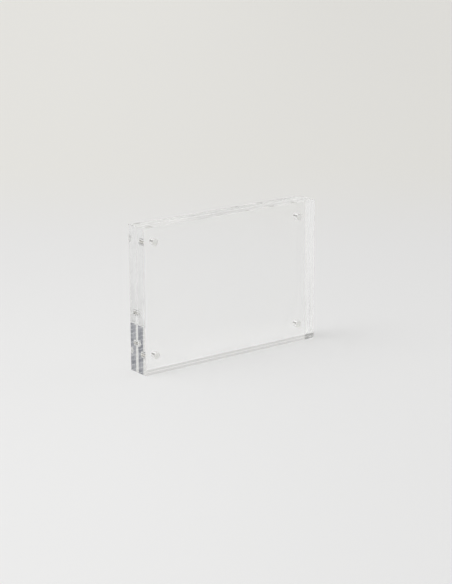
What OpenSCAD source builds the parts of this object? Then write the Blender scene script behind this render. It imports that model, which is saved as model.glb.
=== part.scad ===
// Magnetic block photo frame that stands on its own long edge.
// Two thick polished acrylic blocks hold a print between them, and a pair of
// small magnets at each corner pulls the blocks together.
// X runs along the width, Y from front to back, Z up. The origin is the centre
// of the base, in the plane where the two blocks meet.

/* [Blocks] */
// Width of both blocks, along their long edge
block_w = 165; // [120:1:240]
// Height of both blocks, standing on their long edge
block_h = 115; // [80:1:180]
// Thickness of each block
block_t = 10; // [8:0.5:15]
// Width of the small bevel along every polished edge
edge_bevel = 0.1; // [0.05:0.05:0.8]
// Space between the blocks that the magnets keep open for the print
print_gap = 0.2; // [0.1:0.05:0.4]

/* [Magnets] */
// Diameter of each magnet
magnet_d = 5; // [4:0.5:8]
// Length of each magnet
magnet_l = 3; // [2:0.5:4]
// Width of the small bevel round both ends of a magnet
magnet_bevel = 0.2; // [0.1:0.05:0.3]
// Distance from a magnet's axis to the block's side and top or bottom edge
magnet_inset = 13; // [8:0.5:20]
// How much wider each pocket is than its magnet
pocket_play = 0.2; // [0.1:0.05:0.4]
// Thickness of the cured adhesive between a magnet and its pocket's floor
adhesive_t = 0.6; // [0.2:0.1:1]

/* [Hidden] */
FRONT = -1;
BACK = 1;
LEFT = -1;
RIGHT = 1;
CORNERS = [
    ["top_left", LEFT, block_h - magnet_inset],
    ["top_right", RIGHT, block_h - magnet_inset],
    ["bottom_left", LEFT, magnet_inset],
    ["bottom_right", RIGHT, magnet_inset],
];
SIDES = [
    ["front", FRONT],
    ["back", BACK],
];

magnet_x = block_w / 2 - magnet_inset;
pocket_d = magnet_d + pocket_play;
inner_face = print_gap / 2;
// Each magnet's free end lies in the plane where the blocks meet.
pocket_floor = magnet_l + adhesive_t;
cut_past = 1;
$fn = 96;

// A rectangle of a by b, centred, with bevelled corners
module bevelled_rectangle(a, b) {
    polygon([
        [-a / 2 + edge_bevel, -b / 2],
        [a / 2 - edge_bevel, -b / 2],
        [a / 2, -b / 2 + edge_bevel],
        [a / 2, b / 2 - edge_bevel],
        [a / 2 - edge_bevel, b / 2],
        [-a / 2 + edge_bevel, b / 2],
        [-a / 2, b / 2 - edge_bevel],
        [-a / 2, -b / 2 + edge_bevel],
    ]);
}

// A box of a by b by c, centred, with all twelve edges bevelled
module bevelled_box(a, b, c) {
    intersection() {
        linear_extrude(c, center = true) bevelled_rectangle(a, b);
        rotate([90, 0, 0]) linear_extrude(b, center = true) bevelled_rectangle(a, c);
        rotate([90, 0, 90]) linear_extrude(a, center = true) bevelled_rectangle(b, c);
    }
}

// Puts its children at a corner's magnet axis, with their +Z running from the
// plane where the blocks meet into the block on that side
module at_magnet(side, corner) {
    translate([corner[1] * magnet_x, 0, corner[2]])
        rotate([-90 * side[1], 0, 0])
            children();
}

// A polished acrylic block with a blind pocket for each magnet in its inner face
module block(side) {
    color([0.86, 0.90, 0.91, 0.4])
        difference() {
            translate([0, side[1] * (inner_face + block_t / 2), block_h / 2])
                bevelled_box(block_w, block_t, block_h);
            for (corner = CORNERS)
                at_magnet(side, corner)
                    translate([0, 0, -cut_past])
                        cylinder(h = pocket_floor + cut_past, d = pocket_d);
        }
}

// A nickel-plated cylinder magnet with bevelled ends
module magnet(side, corner) {
    r = magnet_d / 2;
    color([0.74, 0.73, 0.70])
        at_magnet(side, corner)
            rotate_extrude()
                polygon([
                    [0, 0],
                    [r - magnet_bevel, 0],
                    [r, magnet_bevel],
                    [r, magnet_l - magnet_bevel],
                    [r - magnet_bevel, magnet_l],
                    [0, magnet_l],
                ]);
}

// The bed of white adhesive that bonds a magnet to its pocket's floor
module adhesive(side, corner) {
    color([0.93, 0.93, 0.91])
        at_magnet(side, corner)
            translate([0, 0, magnet_l])
                cylinder(h = adhesive_t, d = magnet_d - 2 * magnet_bevel);
}

for (side = SIDES) {
    block(side);
    for (corner = CORNERS) {
        magnet(side, corner);
        adhesive(side, corner);
    }
}
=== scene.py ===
"""Clear acrylic block photo frame: its looks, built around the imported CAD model."""

import math
import random

import bmesh
import bpy
from mathutils import Matrix, Vector

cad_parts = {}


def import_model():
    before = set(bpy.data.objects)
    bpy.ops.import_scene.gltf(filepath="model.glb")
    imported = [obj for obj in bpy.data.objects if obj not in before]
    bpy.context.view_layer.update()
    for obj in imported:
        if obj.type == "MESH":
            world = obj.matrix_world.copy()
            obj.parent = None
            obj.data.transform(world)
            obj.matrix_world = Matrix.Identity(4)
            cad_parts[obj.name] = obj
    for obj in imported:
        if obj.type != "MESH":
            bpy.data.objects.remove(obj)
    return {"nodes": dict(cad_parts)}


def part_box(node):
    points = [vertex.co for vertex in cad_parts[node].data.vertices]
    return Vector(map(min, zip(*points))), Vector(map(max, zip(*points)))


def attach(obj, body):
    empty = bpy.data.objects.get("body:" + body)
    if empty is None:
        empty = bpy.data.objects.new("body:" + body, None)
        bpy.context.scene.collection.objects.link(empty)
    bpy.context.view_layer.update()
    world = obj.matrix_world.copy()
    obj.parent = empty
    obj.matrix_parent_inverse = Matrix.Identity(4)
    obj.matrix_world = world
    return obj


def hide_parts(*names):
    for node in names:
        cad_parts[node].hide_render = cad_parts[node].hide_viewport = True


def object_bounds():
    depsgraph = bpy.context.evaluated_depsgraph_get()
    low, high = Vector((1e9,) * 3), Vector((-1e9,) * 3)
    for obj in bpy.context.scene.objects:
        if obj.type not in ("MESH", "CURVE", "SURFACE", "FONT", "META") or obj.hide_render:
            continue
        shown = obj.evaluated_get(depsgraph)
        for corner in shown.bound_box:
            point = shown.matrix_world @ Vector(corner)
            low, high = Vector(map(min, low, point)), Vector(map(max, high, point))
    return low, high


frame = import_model()
CAD_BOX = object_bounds()
LOW, HIGH = (Vector(corner) for corner in CAD_BOX)
SIZE = HIGH - LOW
CENTRE = (LOW + HIGH) / 2

MM = 0.001
ACRYLIC_IOR = 1.49
FLOOR_GAP = 0.05 * MM
FLOOR_SIDE = 40.0

# The camera has a long lens. Its distance and aim are in heights of the object.
IMAGE_WIDTH = 452
CAMERA_TURN = math.radians(36.687)
CAMERA_DIP = math.radians(15.448)
CAMERA_ROLL = math.radians(-0.28)
CAMERA_DISTANCE = 11.623 * SIZE.z
CAMERA_AIM_RIGHT = 0.0087 * SIZE.z
CAMERA_AIM_UP = -0.0604 * SIZE.z
FOCAL_PIXELS = 1705.3
SENSOR_WIDTH = 36.0
CLIP_END = 100

# Light crosses and bounces inside the blocks many times before it leaves them.
CLEAR_BOUNCES = 64
DIFFUSE_BOUNCES = 4

# A start for the search for the nearest magnet axis, in metres.
FARTHER_THAN_ANY = 1.0

# The pockets are bored 3.6 mm deep from the plane where the blocks meet, and are 0.1 mm wider all
# round than the magnets. The magnets have a 0.2 mm bevel round both ends.
POCKET_RADIUS = 2.6 * MM
POCKET_DEPTH = 3.6 * MM
POCKET_PLAY = 0.1 * MM
MAGNET_RADIUS = POCKET_RADIUS - POCKET_PLAY
MAGNET_BEVEL = 0.2 * MM
WALL_FROST = (0.03, 0.12)
FLOOR_FROST = (0.3, 0.5)
# The frost reaches this far past a pocket's wall and floor, so that it takes in both of them.
FROST_REACH = 0.1 * MM

# The depth of the fine relief in each surface.
POLISH_HEIGHT = 0.0012 * MM
PEBBLE_HEIGHT = 0.003 * MM
PINHOLE_HEIGHT = 0.03 * MM

# Noise is mostly between these two values, so a step between them uses its whole range.
NOISE_RANGE = (0.3, 0.7)

ACRYLIC_COLOUR = (0.995, 0.995, 0.993)
ACRYLIC_TINT = (0.75, 0.76, 0.75)
NICKEL_DARK = (0.78, 0.765, 0.73)
NICKEL_LIGHT = (0.83, 0.815, 0.785)
NICKEL_WORN = (0.72, 0.70, 0.665)
NICKEL_ROUGHNESS = (0.14, 0.26)
WORN_ROUGHNESS = 0.2
ADHESIVE_DARK = (0.905, 0.905, 0.88)
ADHESIVE_LIGHT = (0.95, 0.95, 0.935)
# Painted shade inside the pinholes.
PINHOLE_PAINTED_SHADE = (0.84, 0.84, 0.81)
ADHESIVE_ROUGHNESS = (0.3, 0.45)

# Painted light falloff on the floor: its greys go from left to right, lighter to darker, first near the
# camera and then far from it, where they are darker still.
PAINTED_LIGHT_FLOOR_NEAR = ((0.81, 0.81, 0.81), (0.76, 0.76, 0.76))
PAINTED_LIGHT_FLOOR_FAR = ((0.745, 0.743, 0.74), (0.70, 0.698, 0.695))
FLOOR_WARMTH = (1.0, 0.992, 0.958)
# The floor takes the sky's colour between these two distances from the object, in metres.
FLOOR_FADE = (3.0, 9.0)
FLOOR_AT_HORIZON = (0.85, 0.84, 0.815)

# What surrounds the object. The acrylic shows it in its ends and along its edges.
SKY_LOW = (0.865, 0.857, 0.83)
WHITE = (1.0, 1.0, 1.0)
WINDOW = (2.3, 2.3, 2.3)
BACKDROP = (0.71, 0.705, 0.69)
RIGHT_ROOM = ((0.15, 0.16, 0.19), (0.38, 0.385, 0.41))
LEFT_ROOM = ((0.20, 0.20, 0.20), (0.50, 0.50, 0.49))

# The adhesive stays a hair off the acrylic, and reaches a hair into the magnet.
HAIR = 0.02 * MM
SKIRT_RISE = 0.45 * MM
SKIRT_WANDER = 0.12 * MM
BEAD_SEGMENTS = 64
# How many times each wave goes round the edge of a skirt, and the seed that places the waves.
SKIRT_WAVES = (1, 2, 3, 5)
SKIRT_SEED = 7

CORNERS = ("top_left", "top_right", "bottom_left", "bottom_right")


class Nodes:
    """A short way to add and join shader nodes."""

    def __init__(self, tree):
        self.tree = tree
        tree.nodes.clear()

    def put(self, socket, value):
        if isinstance(value, bpy.types.NodeSocket):
            self.tree.links.new(value, socket)
        elif socket.type == "RGBA":
            socket.default_value = (*value, 1)
        else:
            socket.default_value = value

    def add(self, kind, inputs=None, **settings):
        node = self.tree.nodes.new(kind)
        for name, value in settings.items():
            setattr(node, name, value)
        for name, value in (inputs or {}).items():
            self.put(node.inputs[name], value)
        return node

    def maths(self, operation, *values):
        return self.add("ShaderNodeMath", dict(enumerate(values)), operation=operation).outputs[0]

    def vector(self, operation, *values):
        return self.add("ShaderNodeVectorMath", dict(enumerate(values)), operation=operation)

    def step(self, value, low, high, bottom=0.0, top=1.0):
        """A smooth step from bottom, where value is at low, to top, where it is at high."""
        inputs = {"Value": value, "From Min": low, "From Max": high, "To Min": bottom, "To Max": top}
        return self.add("ShaderNodeMapRange", inputs, interpolation_type="SMOOTHSTEP").outputs[0]

    def blend(self, factor, a, b):
        """The number that lies at factor on the way from a to b."""
        return self.maths("MULTIPLY_ADD", factor, self.maths("SUBTRACT", b, a), a)

    def mix(self, factor, a, b):
        node = self.add("ShaderNodeMix", {"Factor": factor}, data_type="RGBA")
        colours = [socket for socket in node.inputs if socket.type == "RGBA"]
        self.put(colours[0], a)
        self.put(colours[1], b)
        return next(socket for socket in node.outputs if socket.type == "RGBA")

    def noise(self, vector, scale, detail=2.0, roughness=0.5):
        inputs = {"Vector": vector, "Scale": scale, "Detail": detail, "Roughness": roughness}
        return self.add("ShaderNodeTexNoise", inputs).outputs[0]


def material(name):
    made = bpy.data.materials.new(name)
    made.use_nodes = True
    return made, Nodes(made.node_tree)


def magnet_axes():
    """A point on each corner's magnet axis."""
    for corner in CORNERS:
        low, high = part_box(f"front_magnet_{corner}")
        yield (low + high) / 2


def from_magnet_axis(n, place):
    """How far a point is from the nearest magnet's axis, which runs along Y."""
    nearest = FARTHER_THAN_ANY
    for axis in magnet_axes():
        offset = n.vector("SUBTRACT", place, axis).outputs[0]
        flat = n.vector("MULTIPLY", offset, (1, 0, 1)).outputs[0]
        nearest = n.maths("MINIMUM", nearest, n.vector("LENGTH", flat).outputs["Value"])
    return nearest


def acrylic():
    """Polished acrylic: frosted in the pockets, with faint polishing lines across the cut edges."""
    made, n = material("clear_acrylic")
    where = n.add("ShaderNodeTexCoord").outputs
    place = where["Object"]
    x, y, z = n.add("ShaderNodeSeparateXYZ", {0: place}).outputs
    depth = n.maths("ABSOLUTE", y)
    near_axis = n.maths("LESS_THAN", from_magnet_axis(n, place), POCKET_RADIUS + FROST_REACH)
    shallow = n.maths("LESS_THAN", depth, POCKET_DEPTH + FROST_REACH)
    pocket = n.maths("MULTIPLY", near_axis, shallow)
    at_floor = n.maths("GREATER_THAN", depth, POCKET_DEPTH - FROST_REACH / 2)
    marks = n.noise(place, scale=1800.0, detail=3.0, roughness=0.6)
    wall_frost = n.step(marks, *NOISE_RANGE, *WALL_FROST)
    floor_frost = n.step(marks, *NOISE_RANGE, *FLOOR_FROST)
    roughness = n.maths("MULTIPLY", pocket, n.blend(at_floor, wall_frost, floor_frost))

    facing = n.maths("ABSOLUTE", n.add("ShaderNodeSeparateXYZ", {0: where["Normal"]}).outputs["Y"])
    off_the_faces = n.maths("LESS_THAN", facing, 0.5)
    cut_edge = n.maths("MULTIPLY", off_the_faces, n.maths("SUBTRACT", 1.0, pocket))
    along = n.add("ShaderNodeCombineXYZ", {"X": n.maths("ADD", x, z)}).outputs[0]
    scratches = n.noise(along, scale=260.0, detail=3.0, roughness=0.55)
    lines = n.maths("MULTIPLY", cut_edge, scratches)
    ripple = n.add("ShaderNodeBump", {"Height": lines, "Distance": POLISH_HEIGHT, "Strength": 1.0})

    shader = n.add(
        "ShaderNodeBsdfPrincipled",
        {
            "Base Color": ACRYLIC_COLOUR,
            "Roughness": roughness,
            "IOR": ACRYLIC_IOR,
            "Transmission Weight": 1.0,
            "Normal": ripple.outputs[0],
        },
    )
    inside = n.add("ShaderNodeVolumeAbsorption", {"Color": ACRYLIC_TINT, "Density": 1.0})
    n.add("ShaderNodeOutputMaterial", {"Surface": shader.outputs[0], "Volume": inside.outputs[0]})
    return made


def nickel():
    """Bright nickel over sintered metal: finely pebbled, with a cloudy gloss and a duller, worn rim."""
    made, n = material("nickel_plating")
    place = n.add("ShaderNodeTexCoord").outputs["Object"]
    pebbles = n.noise(place, scale=5200.0, detail=3.0, roughness=0.6)
    clouds = n.noise(place, scale=900.0, detail=3.0, roughness=0.55)
    rim = MAGNET_RADIUS - MAGNET_BEVEL
    at_rim = n.step(from_magnet_axis(n, place), rim, rim + MAGNET_BEVEL)
    wear = n.maths("MULTIPLY", at_rim, pebbles)
    colour = n.mix(n.step(clouds, *NOISE_RANGE), NICKEL_DARK, NICKEL_LIGHT)
    colour = n.mix(wear, colour, NICKEL_WORN)
    gloss = n.step(clouds, *NOISE_RANGE, *NICKEL_ROUGHNESS)
    roughness = n.maths("ADD", gloss, n.maths("MULTIPLY", wear, WORN_ROUGHNESS))
    bump = n.add("ShaderNodeBump", {"Height": pebbles, "Distance": PEBBLE_HEIGHT, "Strength": 1.0})
    shader = n.add(
        "ShaderNodeBsdfPrincipled",
        {"Base Color": colour, "Metallic": 1.0, "Roughness": roughness, "Normal": bump.outputs[0]},
    )
    n.add("ShaderNodeOutputMaterial", {"Surface": shader.outputs[0]})
    return made


def adhesive():
    """Cured white adhesive: slightly cloudy, with pinholes where small bubbles reached its surface,
    darkened with painted shade.
    """
    made, n = material("white_adhesive")
    place = n.add("ShaderNodeTexCoord").outputs["Object"]
    clouds = n.noise(place, scale=750.0, detail=3.0, roughness=0.55)
    bubbles = n.add("ShaderNodeTexVoronoi", {"Vector": place, "Scale": 2600.0, "Randomness": 1.0})
    distance = bubbles.outputs["Distance"]
    pinholes = n.step(distance, low=0.08, high=0.22, bottom=1.0, top=0.0)
    colour = n.mix(n.step(clouds, *NOISE_RANGE), ADHESIVE_DARK, ADHESIVE_LIGHT)
    # Painted shade: the pinholes get a darker colour as well as being sunk by the bump.
    colour = n.mix(pinholes, colour, PINHOLE_PAINTED_SHADE)
    height = n.maths("SUBTRACT", n.maths("MULTIPLY", clouds, 0.5), pinholes)
    bump = n.add("ShaderNodeBump", {"Height": height, "Distance": PINHOLE_HEIGHT, "Strength": 1.0})
    shader = n.add(
        "ShaderNodeBsdfPrincipled",
        {
            "Base Color": colour,
            "Roughness": n.step(clouds, *NOISE_RANGE, *ADHESIVE_ROUGHNESS),
            "Normal": bump.outputs[0],
        },
    )
    n.add("ShaderNodeOutputMaterial", {"Surface": shader.outputs[0]})
    return made


def lathe(name, outline, around):
    """A closed solid of revolution about Y. outline(turn) gives its (radius, y) points at that angle,
    of which the first and last lie on the axis."""
    mesh = bpy.data.meshes.new(name)
    shape = bmesh.new()
    turns = [2 * math.pi * k / BEAD_SEGMENTS for k in range(BEAD_SEGMENTS)]
    columns = [outline(turn) for turn in turns]
    rings = []
    for number, (radius, y) in enumerate(columns[0]):
        if radius == 0:
            rings.append([shape.verts.new((around.x, y, around.z))] * BEAD_SEGMENTS)
            continue
        ring = []
        for turn, column in zip(turns, columns):
            radius, y = column[number]
            x = around.x + radius * math.cos(turn)
            z = around.z + radius * math.sin(turn)
            ring.append(shape.verts.new((x, y, z)))
        rings.append(ring)
    for lower, upper in zip(rings, rings[1:]):
        for k in range(BEAD_SEGMENTS):
            after = (k + 1) % BEAD_SEGMENTS
            corners = dict.fromkeys((lower[k], lower[after], upper[after], upper[k]))
            shape.faces.new(corners.keys())
    bmesh.ops.recalc_face_normals(shape, faces=shape.faces)
    shape.to_mesh(mesh)
    shape.free()
    made = bpy.data.objects.new(name, mesh)
    bpy.context.scene.collection.objects.link(made)
    return made


def bead_outline(away, near, far, waves):
    """The outline of a bead between a magnet's end, at near, and its pocket's floor, at far.
    A thin skirt of adhesive was squeezed up round the magnet, and its edge wanders."""

    def outline(turn):
        wander = sum(math.sin(count * turn + phase) for count, phase in waves) / len(waves)
        edge = near - away * (SKIRT_RISE + SKIRT_WANDER * wander)
        end = near - away * HAIR
        bed = far - away * HAIR
        return [
            (0, end),
            (MAGNET_RADIUS - MAGNET_BEVEL - HAIR, end),
            (MAGNET_RADIUS - HAIR, end - away * MAGNET_BEVEL),
            (MAGNET_RADIUS - HAIR, edge + away * 2 * HAIR),
            (POCKET_RADIUS - 2 * HAIR, edge),
            (POCKET_RADIUS - HAIR, edge + away * 2 * HAIR),
            (POCKET_RADIUS - HAIR, bed - away * 3 * HAIR),
            (POCKET_RADIUS - 3 * HAIR, bed),
            (0, bed),
        ]

    return outline


def adhesive_beads(look):
    """A white bead bonds each magnet's end to its pocket, and fills all but a hair of the space."""
    chance = random.Random(SKIRT_SEED)
    for side, away in (("front", -1), ("back", 1)):
        for corner in CORNERS:
            node = f"{side}_adhesive_{corner}"
            low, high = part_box(node)
            near, far = (high.y, low.y) if away < 0 else (low.y, high.y)
            waves = [(count, chance.uniform(0, 2 * math.pi)) for count in SKIRT_WAVES]
            outline = bead_outline(away, near, far, waves)
            bead = lathe(f"{side}_adhesive_bead_{corner}", outline, (low + high) / 2)
            bead.data.materials.append(look)
            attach(bead, side)
            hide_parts(node)


def dress(looks):
    """Give each CAD node the look of its kind."""
    for name, node in frame["nodes"].items():
        kind = "block" if name.endswith("_block") else name.split("_")[1]
        node.data.materials.clear()
        node.data.materials.append(looks[kind])


def floor():
    """A pale floor with painted light falloff across it, which fades into the sky where the two meet.
    """
    side = FLOOR_SIDE / 2
    mesh = bpy.data.meshes.new("floor")
    corners = [(-side, -side, 0), (side, -side, 0), (side, side, 0), (-side, side, 0)]
    mesh.from_pydata(corners, [], [(0, 1, 2, 3)])
    made = bpy.data.objects.new("floor", mesh)
    made.location.z = LOW.z - FLOOR_GAP
    bpy.context.scene.collection.objects.link(made)
    look, n = material("floor_paper")
    place = n.add("ShaderNodeTexCoord").outputs["Object"]
    forward = (math.sin(CAMERA_TURN), math.cos(CAMERA_TURN), 0)
    sideways = (math.cos(CAMERA_TURN), -math.sin(CAMERA_TURN), 0)
    ahead = n.vector("DOT_PRODUCT", place, forward).outputs["Value"]
    across = n.vector("DOT_PRODUCT", place, sideways).outputs["Value"]
    # Painted light falloff: the floor is lighter near the camera and to the left, darker far off and to
    # the right, and warmer far behind the object.
    near = n.mix(n.step(across, low=-0.15, high=0.2), *PAINTED_LIGHT_FLOOR_NEAR)
    far = n.mix(n.step(across, low=-0.3, high=0.4), *PAINTED_LIGHT_FLOOR_FAR)
    warmth = n.mix(n.step(ahead, low=0.3, high=0.8), WHITE, FLOOR_WARMTH)
    colour = n.mix(n.step(ahead, low=-0.35, high=0.6), near, far)
    colour = n.vector("MULTIPLY", colour, warmth).outputs[0]
    away = n.vector("LENGTH", place).outputs["Value"]
    colour = n.mix(n.step(away, *FLOOR_FADE), colour, FLOOR_AT_HORIZON)
    paper = {"Base Color": colour, "Roughness": 0.9, "Specular IOR Level": 0.0}
    shader = n.add("ShaderNodeBsdfPrincipled", paper)
    n.add("ShaderNodeOutputMaterial", {"Surface": shader.outputs[0]})
    mesh.materials.append(look)


def world():
    """A pale sky, with a soft window high on the left, a greyer backdrop and two darker rooms."""
    scene = bpy.context.scene
    made = bpy.data.worlds.new("studio")
    made.use_nodes = True
    scene.world = made
    n = Nodes(made.node_tree)
    direction = n.add("ShaderNodeTexCoord").outputs["Generated"]
    up = n.add("ShaderNodeSeparateXYZ", {0: direction}).outputs["Z"]
    level = n.vector("NORMALIZE", n.vector("MULTIPLY", direction, (1, 1, 0)).outputs[0]).outputs[0]

    def towards(x, y, narrow, wide):
        """1 within narrow degrees of a compass direction, and 0 past wide degrees."""
        length = math.hypot(x, y)
        along = n.vector("DOT_PRODUCT", level, (x / length, y / length, 0)).outputs["Value"]
        return n.step(along, math.cos(math.radians(wide)), math.cos(math.radians(narrow)))

    def between(low, high, soft=0.02):
        """1 from low to high, measured straight up, with a soft lower edge and a softer upper one."""
        lower_edge = n.step(up, low - soft, low)
        upper_edge = n.step(up, high + 4 * soft, high)
        return n.maths("MULTIPLY", lower_edge, upper_edge)

    blotch = n.noise(direction, scale=220.0, detail=3.0, roughness=0.6)
    patches = n.noise(direction, scale=30.0, detail=3.0, roughness=0.6)
    mottle = n.step(n.blend(0.4, blotch, patches), low=0.36, high=0.64)

    def patch(behind, colour, direction_part, height_part):
        """The sky with a patch of colour over what is behind it."""
        return n.mix(n.maths("MULTIPLY", direction_part, height_part), behind, colour)

    sky = n.mix(n.step(up, low=0.25, high=0.8), SKY_LOW, WHITE)
    window_side = towards(-0.8, 0.6, narrow=22, wide=44)
    sky = patch(sky, WINDOW, window_side, between(low=0.68, high=0.92, soft=0.04))
    backdrop_side = towards(0.6, 0.8, narrow=50, wide=60)
    sky = patch(sky, BACKDROP, backdrop_side, between(low=0.26, high=0.5))
    right_side = towards(0.545, -0.838, narrow=20, wide=26)
    sky = patch(sky, n.mix(mottle, *RIGHT_ROOM), right_side, between(low=0.26, high=0.5))
    left_side = towards(-0.545, 0.838, narrow=26, wide=32)
    sky = patch(sky, n.mix(mottle, *LEFT_ROOM), left_side, between(low=0.06, high=0.5))
    back = n.add("ShaderNodeBackground", {"Color": sky, "Strength": 1.0})
    n.add("ShaderNodeOutputWorld", {"Surface": back.outputs[0]})


def camera():
    """The photograph's viewpoint, to the left, in front and above."""
    scene = bpy.context.scene
    ahead = Vector((
        math.sin(CAMERA_TURN) * math.cos(CAMERA_DIP),
        math.cos(CAMERA_TURN) * math.cos(CAMERA_DIP),
        -math.sin(CAMERA_DIP),
    ))
    level = Vector((math.cos(CAMERA_TURN), -math.sin(CAMERA_TURN), 0))
    tilted = level.cross(ahead)
    right = math.cos(CAMERA_ROLL) * level + math.sin(CAMERA_ROLL) * tilted
    up = math.cos(CAMERA_ROLL) * tilted - math.sin(CAMERA_ROLL) * level
    place = CENTRE - CAMERA_DISTANCE * ahead + CAMERA_AIM_RIGHT * right + CAMERA_AIM_UP * up
    data = bpy.data.cameras.new("camera")
    data.sensor_fit = "HORIZONTAL"
    data.sensor_width = SENSOR_WIDTH
    data.lens = FOCAL_PIXELS / IMAGE_WIDTH * SENSOR_WIDTH
    data.clip_end = CLIP_END
    made = bpy.data.objects.new("camera", data)
    made.matrix_world = Matrix.Translation(place) @ Matrix((right, up, -ahead)).transposed().to_4x4()
    scene.collection.objects.link(made)
    scene.camera = made


def light_paths():
    scene = bpy.context.scene
    cycles = scene.cycles
    cycles.max_bounces = CLEAR_BOUNCES
    cycles.transmission_bounces = CLEAR_BOUNCES
    cycles.glossy_bounces = CLEAR_BOUNCES
    cycles.diffuse_bounces = DIFFUSE_BOUNCES
    cycles.blur_glossy = 0.0
    cycles.sample_clamp_indirect = 0.0
    scene.view_settings.view_transform = "Standard"


camera()
looks = {"block": acrylic(), "magnet": nickel(), "adhesive": adhesive()}
dress(looks)
adhesive_beads(looks["adhesive"])
floor()
world()
light_paths()
